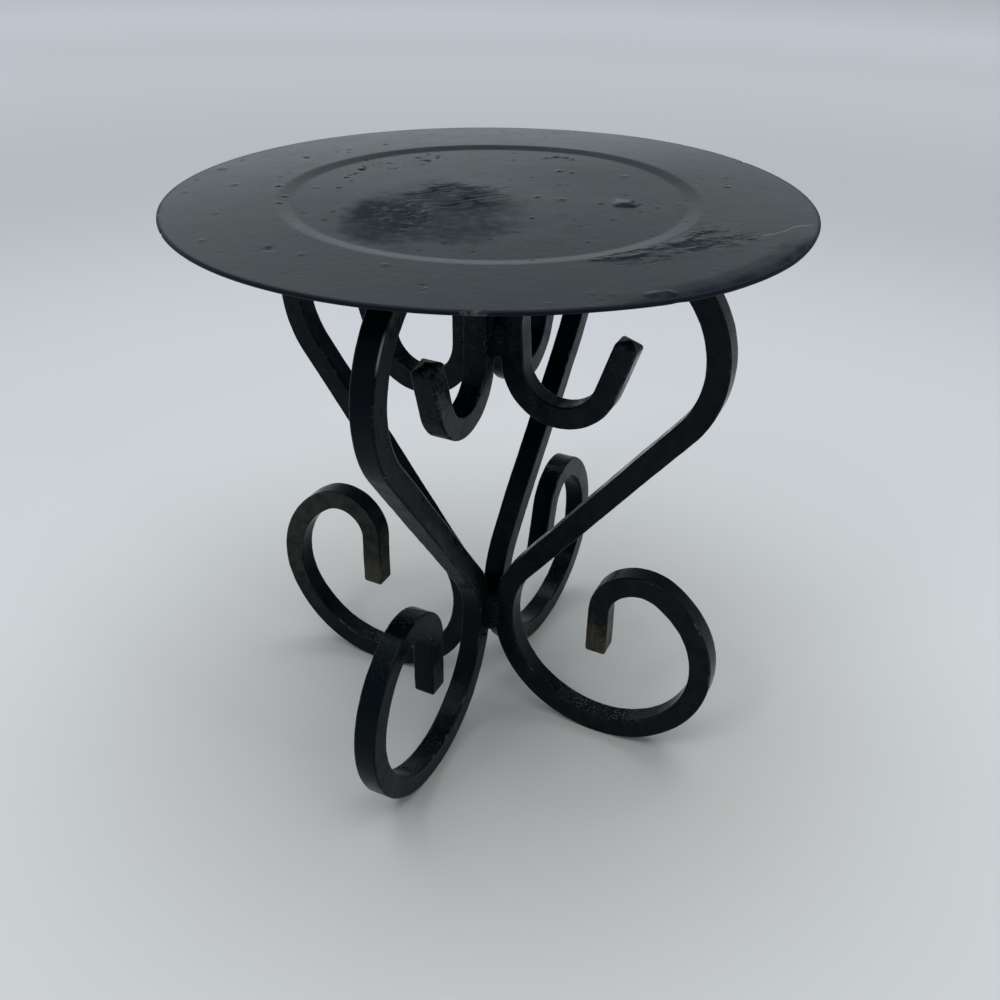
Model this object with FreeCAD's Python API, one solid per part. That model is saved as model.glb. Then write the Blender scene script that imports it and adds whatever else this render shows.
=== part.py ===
import FreeCAD, Part
import math
import os

# Candle stand: a round sheet-iron dish on four S-scroll legs of square bar, welded together.
# Millimetres, +Z up. The origin is on the floor under the middle of the dish. The legs stand
# along +X, +Y, -X and -Y, each bent in the upright plane that holds the Z axis.

# Whole stand
STAND_HEIGHT = 150.0        # floor to the top of the bars, where the dish lies on them
LEG_NAMES = ("leg_right", "leg_back", "leg_left", "leg_front")

# Square bar of the legs
BAR = 6.0                   # width and thickness
BAR_EDGE = 0.5              # broken corner of the rolled bar
ROOT_GAP = 0.7              # how far the bars stand off from meeting corner to corner

# Foot scroll, radii on the middle of the bar
FLOOR_RADIUS = 36.7         # where each foot touches the floor, from the axis
TOE_RADIUS = 29.2           # first arc outwards from the floor
TOE_TURN = 67.0             # turns in degrees
BACK_RADIUS = 26.1          # second arc, up the outside of the scroll
BACK_TURN = 82.0
CURL_RADIUS = 11.2          # tight arc that turns the end over
SCROLL_TURN = 270.0         # whole turn from the floor, which leaves the end plumb
FOOT_TIP = 14.4             # straight end

# Waist and diagonal
SOLE_TURN = 104.0           # arc from the floor round to the waist
WAIST_RADIUS = 17.2         # tighter arc that throws the bar outwards

# Top scroll
SHOULDER_RADIUS = 27.0      # arc from the diagonal up to the dish
TOP_RADIUS = 32.0           # where each leg touches the dish, from the axis
INNER_RUN = 8.5             # straight drop beside the axis
HOOK_RADIUS = 12.7
HOOK_TURN = 162.0
HOOK_TIP = 14.0             # straight end, leaning outwards

# Dish of pressed sheet
DISH_DIAMETER = 152.0
SHEET = 1.0
WELL_DIAMETER = 92.0        # flat floor that carries the candle
STEP_WIDTH = 4.2            # sloped ring round the well
WELL_DEPTH = 0.6
RIM_FALL = 0.4              # how much lower the rim is at its edge than at the step
EDGE_BREAK = 0.3            # worn upper edge of the sheet

# Weld beads: each fills the corner between two faces and tapers away at its ends
WAIST_WELD = 4.0            # reach over each bar at the waist
WAIST_WELD_RUN = 7.0        # full length between the tapers
HUB_WELD = 3.5              # the same below the dish, on the straight drops
HUB_WELD_RUN = 4.0
DISH_WELD = 2.6             # reach over the bar and under the dish
DISH_WELD_RUN = 8.0
WELD_TAPER = 3.0

# Places that follow from the sizes above
HALF_BAR = BAR / 2
BAR_RING = BAR + ROOT_GAP                   # middle of each bar from the axis, where they meet
SOLE_RADIUS = FLOOR_RADIUS - BAR_RING
WAIST_HEIGHT = HALF_BAR + SOLE_RADIUS       # where a bar comes nearest to the axis
TOP_HEIGHT = STAND_HEIGHT - HALF_BAR        # middle of the bar under the dish
INNER_RADIUS = TOP_RADIUS - BAR_RING
DROP_TOP = TOP_HEIGHT - INNER_RADIUS
DROP_FOOT = DROP_TOP - INNER_RUN
TOLERANCE = 0.001


def at(r, z):
    """Point in a leg's plane, r out from the axis and z above the floor."""
    return FreeCAD.Vector(r, 0, z)


def heading(degrees):
    """Unit vector in a leg's plane, turned up from the outward direction."""
    angle = math.radians(degrees)
    return at(math.cos(angle), math.sin(angle))


class Arc:
    """Round stretch of a bar's middle line; a positive turn is anticlockwise seen from -Y."""

    def __init__(self, centre, radius, start, turn):
        self.centre = centre
        self.radius = radius
        self.start = start
        self.turn = turn

    def backwards(self):
        return Arc(self.centre, self.radius, self.start + self.turn, -self.turn)

    def end(self):
        return self.centre + heading(self.start + self.turn) * self.radius

    def edge(self, left):
        """Edge that runs beside the stretch, as far to the left of it as given."""
        radius = self.radius - math.copysign(1, self.turn) * left
        points = [self.centre + heading(self.start + self.turn * part) * radius for part in (0, 0.5, 1)]
        return Part.Arc(*points).toShape()


class Straight:
    """Straight stretch of a bar's middle line."""

    def __init__(self, start, finish):
        self.start = start
        self.finish = finish

    def backwards(self):
        return Straight(self.finish, self.start)

    def edge(self, left):
        along = (self.finish - self.start).normalize()
        aside = at(-along.z, along.x) * left
        return Part.LineSegment(self.start + aside, self.finish + aside).toShape()


def foot_scroll():
    """Stretches from the floor round the foot to its end."""
    toe = Arc(at(FLOOR_RADIUS, HALF_BAR + TOE_RADIUS), TOE_RADIUS, -90, TOE_TURN)
    toe_end = TOE_TURN - 90
    back_centre = toe.end() - heading(toe_end) * BACK_RADIUS
    back = Arc(back_centre, BACK_RADIUS, toe_end, BACK_TURN)
    back_end = toe_end + BACK_TURN
    curl_centre = back.end() - heading(back_end) * CURL_RADIUS
    curl = Arc(curl_centre, CURL_RADIUS, back_end, SCROLL_TURN - TOE_TURN - BACK_TURN)
    tip = Straight(curl.end(), curl.end() + heading(SCROLL_TURN) * FOOT_TIP)
    return [toe, back, curl, tip]


def body_curve():
    """Stretches from the floor past the waist and up the diagonal to the dish."""
    sole = Arc(at(FLOOR_RADIUS, HALF_BAR + SOLE_RADIUS), SOLE_RADIUS, 270, -SOLE_TURN)
    sole_end = 270 - SOLE_TURN
    waist_centre = sole.end() - heading(sole_end) * WAIST_RADIUS
    shoulder_centre = at(TOP_RADIUS, TOP_HEIGHT - SHOULDER_RADIUS)
    # The diagonal is the line that crosses between the waist circle and the shoulder circle.
    across = shoulder_centre - waist_centre
    lean = math.degrees(math.atan2(across.z, across.x))
    opening = math.degrees(math.acos((WAIST_RADIUS + SHOULDER_RADIUS) / across.Length))
    leave = lean + opening
    waist = Arc(waist_centre, WAIST_RADIUS, sole_end, leave - sole_end)
    shoulder = Arc(shoulder_centre, SHOULDER_RADIUS, leave - 180, 270 - leave)
    diagonal = Straight(waist.end(), shoulder_centre - heading(leave) * SHOULDER_RADIUS)
    return [sole, waist, diagonal, shoulder]


def top_scroll():
    """Stretches from the dish down beside the axis and round the hook to its end."""
    inner = Arc(at(TOP_RADIUS, DROP_TOP), INNER_RADIUS, 90, 90)
    drop = Straight(at(BAR_RING, DROP_TOP), at(BAR_RING, DROP_FOOT))
    hook = Arc(at(BAR_RING + HOOK_RADIUS, DROP_FOOT), HOOK_RADIUS, 180, HOOK_TURN)
    tip = Straight(hook.end(), hook.end() + heading(HOOK_TURN - 90) * HOOK_TIP)
    return [inner, drop, hook, tip]


def leg_bar():
    """One leg along +X: a square bar along its middle line, with broken corners."""
    foot = [stretch.backwards() for stretch in reversed(foot_scroll())]
    line = foot + body_curve() + top_scroll()
    sawn = [line[0].start, line[-1].finish]
    left = [stretch.edge(HALF_BAR) for stretch in line]
    right = [stretch.edge(-HALF_BAR) for stretch in line]
    ends = [Part.LineSegment(left[0].firstVertex().Point, right[0].firstVertex().Point).toShape(),
            Part.LineSegment(left[-1].lastVertex().Point, right[-1].lastVertex().Point).toShape()]
    outline = Part.Wire(Part.__sortEdges__(left + right + ends))
    bar = Part.Face(outline).extrude(FreeCAD.Vector(0, BAR, 0))
    bar.translate(FreeCAD.Vector(0, -HALF_BAR, 0))
    return bar.makeChamfer(BAR_EDGE, [edge for edge in bar.Edges if runs_along(edge, sawn)])


def runs_along(edge, sawn):
    """Whether an edge is a long corner of a bar: in one of its flat sides, and not across a sawn end."""
    middle = at(edge.CenterOfMass.x, edge.CenterOfMass.z)
    in_side = edge.BoundBox.YLength < TOLERANCE
    return in_side and all(middle.distanceToPoint(end) > TOLERANCE for end in sawn)


def closed_face(points):
    """Flat face inside straight edges through the points."""
    return Part.Face(Part.makePolygon(points + points[:1]))


def dish():
    """Pressed sheet: a flat well, a sloped step up and a rim that falls slightly to its edge."""
    well = WELL_DIAMETER / 2
    step = well + STEP_WIDTH
    edge = DISH_DIAMETER / 2
    edge_foot = STAND_HEIGHT + WELL_DEPTH - RIM_FALL
    under = [at(0, STAND_HEIGHT), at(well, STAND_HEIGHT), at(step, STAND_HEIGHT + WELL_DEPTH)]
    over = [point + at(0, SHEET) for point in reversed(under)]
    rim = [at(edge, edge_foot),
           at(edge, edge_foot + SHEET - EDGE_BREAK),
           at(edge - EDGE_BREAK, edge_foot + SHEET)]
    return closed_face(under + rim + over).revolve(at(0, 0), at(0, 1), 360)


def weld_bead(corner, face_a, face_b, reach, run):
    """Flat fillet weld in the corner of two faces that lie along face_a and face_b, with tapered ends."""
    along = face_a.cross(face_b)
    root = along * (run / 2 + WELD_TAPER)
    low_root, high_root = corner - root, corner + root
    crest = along * (run / 2)
    low_a, high_a = corner - crest + face_a * reach, corner + crest + face_a * reach
    low_b, high_b = corner - crest + face_b * reach, corner + crest + face_b * reach
    faces = [closed_face([low_root, low_a, high_a, high_root]),
             closed_face([low_root, high_root, high_b, low_b]),
             closed_face([low_a, low_b, high_b, high_a]),
             closed_face([high_root, high_a, high_b]),
             closed_face([low_root, low_b, low_a])]
    return Part.Solid(Part.Shell(faces))


def valley_weld(height, reach, run):
    """Upright bead between the legs along +X and +Y, on the faces that look at each other."""
    corner = FreeCAD.Vector(HALF_BAR, HALF_BAR, height)
    return weld_bead(corner, FreeCAD.Vector(1, 0, 0), FreeCAD.Vector(0, 1, 0), reach, run)


def dish_welds():
    """Two beads under the dish, one on each side of the leg along +X."""
    beads = []
    for side in (1, -1):
        corner = FreeCAD.Vector(TOP_RADIUS, side * HALF_BAR, STAND_HEIGHT)
        away = FreeCAD.Vector(0, side, 0)
        beads.append(weld_bead(corner, away, at(0, -1), DISH_WELD, DISH_WELD_RUN))
    return Part.makeCompound(beads)


def turned(shape, quarter):
    """Copy of a shape, turned about the axis by so many quarter turns."""
    copy = shape.copy()
    copy.rotate(at(0, 0), at(0, 1), 90 * quarter)
    return copy


def stand():
    """Every piece of the stand, by name."""
    pieces = {"dish": dish()}
    leg = leg_bar()
    on_dish = dish_welds()
    waist = valley_weld(WAIST_HEIGHT, WAIST_WELD, WAIST_WELD_RUN)
    hub = valley_weld((DROP_TOP + DROP_FOOT) / 2, HUB_WELD, HUB_WELD_RUN)
    for quarter, name in enumerate(LEG_NAMES):
        place = name.replace("leg_", "")
        pieces[name] = turned(leg, quarter)
        pieces["dish_weld_" + place] = turned(on_dish, quarter)
        pieces["waist_weld_" + place] = turned(waist, quarter)
        pieces["hub_weld_" + place] = turned(hub, quarter)
    return pieces


os.makedirs("parts", exist_ok=True)
for node, shape in stand().items():
    shape.exportStep("parts/" + node + ".step")
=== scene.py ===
"""Candle stand: a painted sheet-iron dish on four scroll legs of square bar, welded together."""
import math
import random

import bmesh
import bpy
from mathutils import Matrix, Vector, kdtree, noise


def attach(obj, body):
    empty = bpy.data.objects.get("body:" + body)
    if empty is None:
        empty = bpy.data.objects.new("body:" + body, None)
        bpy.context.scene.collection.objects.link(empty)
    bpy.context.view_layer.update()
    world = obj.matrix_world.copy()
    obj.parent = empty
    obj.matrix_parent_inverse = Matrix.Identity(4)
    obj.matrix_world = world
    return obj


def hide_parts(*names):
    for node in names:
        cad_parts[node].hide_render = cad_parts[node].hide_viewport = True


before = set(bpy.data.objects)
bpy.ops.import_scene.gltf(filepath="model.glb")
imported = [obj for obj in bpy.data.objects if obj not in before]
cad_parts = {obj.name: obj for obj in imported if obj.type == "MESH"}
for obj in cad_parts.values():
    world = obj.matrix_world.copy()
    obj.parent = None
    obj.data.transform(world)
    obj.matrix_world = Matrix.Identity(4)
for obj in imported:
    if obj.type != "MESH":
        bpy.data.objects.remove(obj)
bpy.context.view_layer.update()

# Lengths are in mm and angles in degrees unless a comment says otherwise. Blender works in metres.
MM = 0.001
PLACES = ("right", "back", "left", "front")     # legs along +X, +Y, -X and -Y

# Square bar
STAND_HEIGHT = 150.0            # floor to the tops of the bars
BAR = 6.0
HALF_BAR = BAR / 2
ROOT_GAP = 0.7                  # how far the bars stand off from meeting corner to corner
BAR_RING = BAR + ROOT_GAP       # middle of each bar from the axis, where the bars meet
CORNER = 0.45                   # rounding of the bar's four long corners
CORNER_STEPS = 4
CORNER_WEAR = (0.4, 1.0)        # wear where a rounding begins, and on it
FLAT_STEPS = (-0.93, -0.32, 0.32, 0.93)         # points across a flat, as shares of its half
STATION = 0.9                   # spacing of the sections along a bar
SAWN_BEVEL = 1.2                # dulled edge of a sawn end
SAWN_STEPS = (0.4, 0.3, 0.2, 0.1)               # spacing of the sections along it, as shares of it
SAWN_WEAR = 0.8
CAP_RINGS = (0.66, 0.33)        # rings on a sawn end, as shares of the section
END_DOME = 0.7                  # how far the middle of a sawn end stands out

# Foot scrolls, which differ a little because they were bent by hand. For each leg: how far out it
# stands on the floor, radii of its two wide arcs, radius and turn of its last arc, its straight end
FEET = (
    (37.4, 28.4, 26.1, 11.6, 121.0, 14.4), (36.7, 29.2, 26.1, 11.2, 106.0, 18.0),
    (35.2, 31.0, 25.8, 10.6, 121.0, 16.1), (37.4, 28.2, 27.0, 11.4, 121.0, 16.8),
)
FOOT_TURNS = (67.0, 82.0)       # turns of the two wide arcs

# Body, from the floor inwards, and top scroll
SOLE_TURN = 98.0                # arc from the floor round to the waist
WAIST_RADIUS = 24.0             # arc that throws the bar outwards
SHOULDERS = (27.4, 27.0, 27.0, 27.0)            # radius of each leg's shoulder
TOP_RADIUS = 32.0               # where each leg touches the dish, from the axis
TOP_HEIGHT = STAND_HEIGHT - HALF_BAR
INNER_RADIUS = TOP_RADIUS - BAR_RING
# Hooks, for each leg: turn down to the axis, run beside it, radius and turn of the hook, and its end
HOOKS = (
    (94.0, 8.6, 12.9, 158.0, 14.4), (90.0, 8.5, 12.7, 162.0, 14.0),
    (90.0, 8.5, 12.7, 162.0, 14.0), (90.0, 9.9, 11.6, 162.0, 14.0),
)
BOW_RUN = 20.0                  # stretch of a leg on each side of its top that is bowed up to the dish
# How far the foot and the top of each leg lie aside of its plane, and between which distances from
# the foot's end the foot comes back, the top leaves and the top comes back
LEG_ASIDE = ((0.0, 0.0), (-2.5, -2.3), (0.0, 0.0), (0.0, 0.0))
FOOT_BACK = (125.0, 70.0)
TOP_LEAVES = (170.0, 245.0)
TOP_BACK = (335.0, 292.0)

# Hand of the smith on the bars: height of the marks and how many there are per mm
FORGE_SWELL = (0.10, 0.09)
FORGE_DENTS = (0.045, 0.35)
SWELL_ACROSS = 2.0              # how much shorter the swells are across the bar
DENT_LAYER = 40.0               # layer of the noise for the dents
LEG_LAYERS = 17.0               # how far apart the legs lie in the noise

# Wear and dirt of the bars, and a painted highlight. Distances along a bar are from the foot's end
LEG_MASKS = ("edge", "tip", "grime", "film", "specked", "painted_highlight")       # kept at each point
TIP_FADE = 11.0                 # how far rust creeps in from the foot's end
TIP_RUST = (1.6, 0.8, 1.4, 0.1)                 # share of it on each leg
HIGHLIGHT_CORNER = (3, 272.6, 281.6)               # leg with a painted highlight along one corner, from where to where
HIGHLIGHT_FADE = 3.0
GRIME = (                       # dirt in the bends: distance, spread, side of the bar, share on each leg
    (109.5, 14.0, -1, (1.0, 0.5, 0.5, 0.3)),
    (366.0, 9.0, 1, (0.7, 0.35, 0.35, 0.2)),
    (31.0, 8.0, 1, (0.0, 0.2, 0.1, 0.5)),
)
GRIME_FACE = 0.6                # share of the half bar beyond which a point has dirt
SPECKED = (318.0, 345.0)        # where pitted, specked paint starts and is full, towards the hook's end
SPECKS = (0.2, 0.2, 0.35, 0.4)                  # share of it on each leg
FILM = (0.20, 0.12, 0.24, 0.06)                 # brown film on the flat sides: share on each leg
FILM_FACE = 0.9                 # share of the half bar beyond which a point has film
FOOT_FILM = (2, 0.60, 55.0, 95.0)               # leg with more on its foot, share, where it thins out

# Dish
DISH_RADIUS = 76.0
SHEET = 1.0
WELL_RADIUS = 46.1
STEP_WIDTH = 4.0
STEP_BEND = 0.14                # share of the step's width that each of its two bends takes
RIM_LEVEL = 0.54                # upper face of the rim above the upper face of a flat sheet
WELL_DEPTH = 0.47               # depth of the well below the rim
WELL_UNEVEN = 0.15              # how much deeper it is pressed at its back, and shallower at its front
EDGE_ROUND = 0.4
EDGE_ANGLES = (0, 30, 60, 90)
DISH_ASIDE = (0.8, -155.0)      # the dish was welded on a little aside: how far, and to which bearing,
DISH_LIFT = 0.4                 # a little high,
DISH_LEAN = 0.95                # and out of level: rise of its edge towards LEAN_BEARING
LEAN_BEARING = -22.5
WELL_RISE = (0.30, 0.45)        # its middle is bent up too: rise there, and more of it at the back
BACK_RISE = (0.6, 72.0, 32.0)   # part of its back is bent up: height, bearing and spread
BACK_RISE_FADE = (15.0, 50.0)   # radii between which that comes in
WAVE_FADE = (8.0, 60.0)         # radii between which the sheet's slow waves come in
ROUND_STEPS = 720               # points round the dish at its edge
FEWEST_STEPS = 45               # points round the ring nearest to the middle
TOP_SPACING = 0.5
UNDER_SPACING = 3.2
EDGE_FADE = 1.2                 # how far wear, and painted shade on the edge band, reach in from the edge
DROOP = 0.62                    # how far a stretch of the rim's edge is knocked down
DROOP_RUN = 6.0                 # how far in from the edge that reaches
DROOP_BEARINGS = (-52.0, -28.0, -12.0, 5.0)     # where it starts, is full, is still full, and ends
SCUFF_STEPS = ((69.5, 71.0), (72.8, 74.8))      # radii where its dirt begins, and where it gets strong
SCUFF_FAINT = 0.3               # share of dirt where it begins
SCUFF_SPREAD = 1.6              # how much sooner the dirt is full than the droop, along the edge
SCUFF_ROW = 2.0                 # row of the noise that the dirt's inner side follows
# Stretches of the edge that are rubbed bare: bearing and spread
RUBBED_EDGE = ((-66.0, 3.0), (-103.0, 2.0), (-20.0, 1.0), (-140.0, 1.5))
EDGE_NICKS = (                  # bearing, width along the edge and depth
    (53.0, 3.0, 0.45), (-130.5, 2.0, 0.35), (-37.0, 4.5, 0.2), (-68.0, 3.0, 0.15), (118.0, 2.0, 0.2),
)
NICK_REACH = 2.0                # how far in from the edge the nicks draw its rings
# Kept at each point, beside its distance from the scratch
DISH_MASKS = ("edge", "rub", "scuff", "patch", "wrinkled", "scales", "painted_shade", "by_scratch")

# Blisters and pits in the dish's paint: distance from the middle, bearing, width and height
RIM_SPOTS = (
    (60, 171, 3.2, -0.22), (73, -173, 3.6, 0.18), (73.5, 179, 2, 0.16), (63, -161, 2.6, 0.14),
    (73, -155, 1.8, 0.14), (64, -138, 1.5, -0.25), (70.5, -123, 2.2, 0.13), (61.5, -112, 3, -0.25),
    (59, -105, 1.8, 0.13), (55, -87, 2.6, 0.11), (52, -161, 2, 0.23), (49, -152, 1.9, 0.23),
    (50, -145, 2, 0.22), (59, 146, 1.8, 0.16), (59.5, 157, 1.6, 0.16), (70, 113, 1.3, -0.14),
    (61.5, 43, 1.8, 0.16), (58, 35, 2.3, 0.18), (74.5, 53, 2.6, -0.3),
    (70, -46, 2.6, 0.09), (68.5, -49, 2.2, 0.09),
)
WELL_SPOTS = (
    (25.5, 15, 1.5, 0.22), (38.5, 14, 1.3, 0.18), (29, 80, 2.2, 0.23),
    (30, 74, 2, 0.23), (38, 55, 2.8, 0.18), (40.5, 95, 2.8, 0.14), (41.5, 92, 2.6, 0.16),
    (42, 88, 2.8, 0.16), (36, 107, 2, 0.14), (10.5, 27, 2.3, 0.16), (16.5, 20, 2.5, 0.2),
    (19, -37, 1.9, 0.18), (27.5, -54, 1.7, 0.16), (39, -34, 1.5, 0.14), (41, 170, 2.8, -0.32),
    (40, -179, 2.6, 0.23), (38, -165, 1.7, 0.2), (43, -163, 1.7, 0.16),
)
SPOT_RAGGED = 0.45              # how far a spot's outline strays from round
SPOT_WEAR = (0.15, 0.75)        # lowest and usual share of its height that is left
SPOT_SHADE = (0.6, 0.3)          # how much painted shade a pit and a blister get
SCATTER_SEED = 7
SCATTER_COUNT = 110             # small spots thrown over the whole dish
SCATTER_REACH = 0.98            # share of the dish's radius that they reach
SCATTER_WIDTH = (1.1, 1.9)
SCATTER_HEIGHT = (-0.09, 0.07)
CLUSTER_COUNT = 22              # crowd of small spots at the back of the well
CLUSTER_REACH = ((36.0, 44.0), (134.0, 168.0))
CLUSTER_HEIGHT = (-0.22, 0.12)
MOUND_POWER = 1.5               # how pointed spots and tears are

# Torn and cracked paint, with painted shade in its cracks and on the outer side of its torn edges:
# height, half width, and the line of it by distance and bearing
PAINT_TEARS = (
    (0.12, 0.65, ((51, -42.5), (51.5, -37.5), (52.5, -31.5), (52, -25), (52.5, -20), (54, -15.5))),
    (0.14, 0.65, ((53, -20), (53, -16), (53.5, -13.5), (55.5, -12))),
    (0.14, 0.65, ((52.5, -13), (53, -8.5), (53.5, -5), (54.5, -4.5))),
    (0.09, 0.7, ((56, -24), (56, -19.5), (57, -16), (58, -11))),
    (0.08, 0.7, ((55.5, -11), (59, -10), (62.5, -9.5))),
    (0.08, 0.7, ((58.5, -6.5), (61.5, -6), (64, -3.5))),
    (0.24, 0.8, ((73, -41), (72.5, -39.5), (73, -38), (74.5, -38))),
    (-0.22, 0.65, ((34.5, 163.5), (35.5, 158), (34.5, 153), (34.5, 146.5))),
    (-0.2, 0.65, ((38.5, 147.5), (38, 142.5), (39, 137))),
    (-0.22, 0.65, ((40, -177.5), (40, 178), (39.5, 175.5))),
    (-0.26, 0.75, ((41.5, 171), (40.5, 168))),
    (0.07, 0.9, ((39, 95), (42, 92), (42, 88), (40.5, 84.5))),
)
TEAR_STEP = 0.3
TEAR_LIFT = 1.8                 # how far in from a torn edge the paint stands up
TEAR_WHOLE = (0.25, 0.7)        # usual share of the height that a crack and a torn edge have
TEAR_MOST = 1.2                 # largest share of it

# Scorched paint where candles burned down: middle and half widths, along SCORCH_LIE and across it
SCORCH_LIE = 24.65
SMOOTH_SCORCH = (-23.0, -18.0, 13.0, 22.0)
LUMPY_SCORCH = (-20.0, -17.0, 8.5, 20.0)
WRINKLED_SCORCH = (-8.5, 0.5, 13.0, 13.5)
SCORCH_HALO = (-12.5, -16.0, 25.0, 29.0)
SCORCH_SHARES = (0.8, 0.5, 0.55)                # darkness of the smooth, the wrinkled and the halo
SCORCH_FADE = (1.1, 0.45)       # shares of the half widths between which scorching comes in
SCORCH_FAR = 1.5                # share of them beyond which there is none
WELL_SOOT = (0.16, 26.0, -24.0)                 # soot in the well: darkness, where it starts and is full
WRINKLE_LIE = 24.0
WRINKLE_HEIGHT = 0.08
WRINKLE_DEEPEST = -0.5          # as a share of the height
CREASE_LENGTH = 15.0            # thin creases in wrinkled and scaly paint, with painted shade in their lines
CREASE_GAP = 2.6
LUMP_HEIGHT = 0.34
LUMP_FLAT = 0.02                # part of the noise that makes no lump
LUMP_BARE = (0.6, 0.08, 0.35)   # share of soot that lumps lose, from the first height to the second

# Blister that has burst: middle, half width, reach to the front and to the back, then its height
BURST = (30.5, -5.2, 2.9, 2.2, 4.6)
BURST_HEIGHT = 0.6
BURST_FAR = 1.3                 # share of its reach beyond which nothing of it is left
GAP_INNER = (0.25, 0.6)         # shares of its reach between which the painted shade of the gap comes in
GAP_OUTER = (BURST_FAR, 1.0)    # and between which it goes
GAP_SIDE = (0.3, -0.2)          # line along which it begins, and where it is full
GAP_SLANT = 0.8                 # slant of that line
FLAKE_HEIGHT = 0.35             # loose flakes of paint in the gap
FLAKE_FADE = (0.22, 0.02)       # shares of a flake at which it hides the gap, and at which it doesn't

# Scaly old paint on the rim: bearings, radius of its inner side at each end, and its width there
SCALES_BEARINGS = (-42.0, 6.0)
SCALES_INNER = (48.5, 52.5)
SCALES_WIDTH = (10.0, 20.0)
SCALES_ENDS = (0.12, 0.75)      # shares of the way along them where they are full and start to go
SCALES_SIDES = (1.0, 1.5)       # distances from the inner side where they are full and start to go
SCALES_PITCH = 1.7              # width of a scale
SCALES_HEIGHT = 0.08            # thickness of a scale at its torn edge
SCALES_SLANT = 0.5
SCALES_BACK = 0.72              # share of a scale's width at which its edge falls off
SCRATCH = (                     # line past the scales, by distance and bearing
    (65, -1), (67, 0.5), (68.5, 3), (70.5, 7), (72.5, 8.5), (74.5, 9.5),
)
SCRATCH_FAR = 4.0               # largest distance from the scratch that a point keeps
SCRATCH_ROW = 3.0               # row of the noise that it follows

# Unevenness from noise: its strength, waves per mm along and across, and the layer of the noise
UNEVEN = {
    "sheet_wave": (0.16, 0.017, 0.017, 5),
    "sheet_dint": (0.012, 0.13, 0.13, 9),
    "scorch_edge": (0.22, 0.09, 0.09, 21),
    "scorch_nibble": (0.12, 0.30, 0.30, 22),
    "wrinkle_sway": (1.6, 0.07, 0.09, 30),
    "wrinkle": (2.6, 0.09, 0.60, 31),
    "lump": (1.0, 0.55, 0.60, 36),
    "small_lump": (0.35, 1.1, 1.1, 37),
    "scuff_edge": (1.2, 0.16, 1.0, 41),
    "scale_sway": (1.6, 0.09, 0.20, 51),
    "scale_nibble": (0.9, 0.45, 0.60, 52),
    "spot_edge": (SPOT_RAGGED, 0.80, 0.80, 61),
    "spot_wear": (1.1, 0.95, 0.95, 62),
    "burst_edge": (0.4, 0.50, 0.50, 71),
    "burst_flake": (1.0, 0.80, 0.45, 72),
    "scratch_sway": (0.35, 0.50, 1.0, 81),
    "tear_sway": (0.8, 0.30, 0.30, 91),
    "tear_break": (2.0, 0.50, 0.50, 92),
    "tear_shake": (0.4, 1.0, 1.0, 93),
}

# Weld beads: reach over each face, full length between the tapered ends
WAIST_HEIGHT = 33.0
HUB_HEIGHT = 117.45
WAIST_WELD = (4.0, 7.0)
HUB_WELD = (3.5, 4.0)
DISH_WELD = (2.6, 8.0)
WELD_TAPER = 3.0
WELD_TIP = 0.06                 # girth at the very end of a bead, as a share
WELD_SINK = 0.14                # how deep a bead's toes lie in the bars
WELD_BULGE = -0.05              # crown of the bead, as a share of its reach; below 0 it is hollow
WELD_RELIEF = 0.006             # height of its ripples, as a share of its reach
WELD_RIPPLE = 1.15              # spacing of the ripples
RIPPLE_BOW = 1.1                # how far a ripple runs ahead in the middle of the bead
RIPPLE_STRAY = (0.9, 0.6)       # how far ripples stray along the bead, and waves per mm
WELD_LUMPS = (0.16, 0.5, 2.2)   # height as a share, waves per mm along the bead, waves across it
WELD_NUBS = (0.06, 1.3, 5.0)
LUMP_LAYER = 3                  # layer of the noise for the lumps
WELD_STATIONS = 54
WELD_STEPS = 14
SPATTER_COUNT = 5
SPATTER_RADIUS = (0.25, 0.55)
SPATTER_REACH = (0.9, 1.15)     # distance from the corner, as shares of the bead's reach
SPATTER_LIFT = 0.1              # how far its middle lies off the bar, as a share of its radius
SPATTER_DIVISIONS = 2
SEED_STEPS = (3.7, 11, 0.1)     # seed of a bead per leg, per bead of a weld and per mm of height

# Colours and gloss of the paints
PAINT_BLACK = (0.0002, 0.0018, 0.0036)
PAINT_WORN = (0.0012, 0.0036, 0.0052)
PAINT_COOL = (0.0045, 0.008, 0.012)
PAINT_WARM = (0.006, 0.012, 0.012)
# dark of soot and dirt, also used as painted shade in pits, cracks, creases, under torn paint and on the
# dish's edge band
SOOT_AND_SHADE = (0.0016, 0.0048, 0.0095)
FILM_BROWN = (0.034, 0.036, 0.031)
SPECK_GREY = (0.040, 0.042, 0.040)
RUST_DARK = (0.026, 0.023, 0.017)
RUST_LIGHT = (0.090, 0.079, 0.060)
BARE_METAL = (0.085, 0.088, 0.088)
# painted highlight along one corner of the front leg
HIGHLIGHT_COLOUR = (0.21, 0.22, 0.24)
DUST_GREY = (0.10, 0.105, 0.10)
# A paint has two tones: values of its noise where the second starts and is full, and their colours
BAR_TONES = {"Clear": 0.42, "Cloudy": 0.75, "Ground": PAINT_BLACK, "Cloud": PAINT_WORN}
DISH_TONES = {"Clear": 0.40, "Cloudy": 0.62, "Ground": PAINT_COOL, "Cloud": PAINT_WARM}
DISH_SHINE = 0.098
BAR_SHINE = 0.075
WELD_SHINE = 0.04
BAR_SHEEN = (0.80, 0.94, 1.0)   # tint of the gloss
DISH_RELIEF = 0.05              # depth of the fine relief in each paint
BAR_RELIEF = 0.05
BEAD_RELIEF = 0.09

# Camera, fitted to the photograph: it looks past AIM_HEIGHT on the axis, from AIM_ASIDE to the right
VIEW_BEARING = 24.65            # from the front towards the right leg
VIEW_RISE = 31.31
VIEW_ROLL = 1.36
VIEW_DISTANCE = 295.9
AIM_HEIGHT = 67.9
AIM_ASIDE = 3.3
SENSOR = 36.0
LENS = 38.41
NEAREST = 10.0                  # nearest thing that the camera shows

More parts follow.
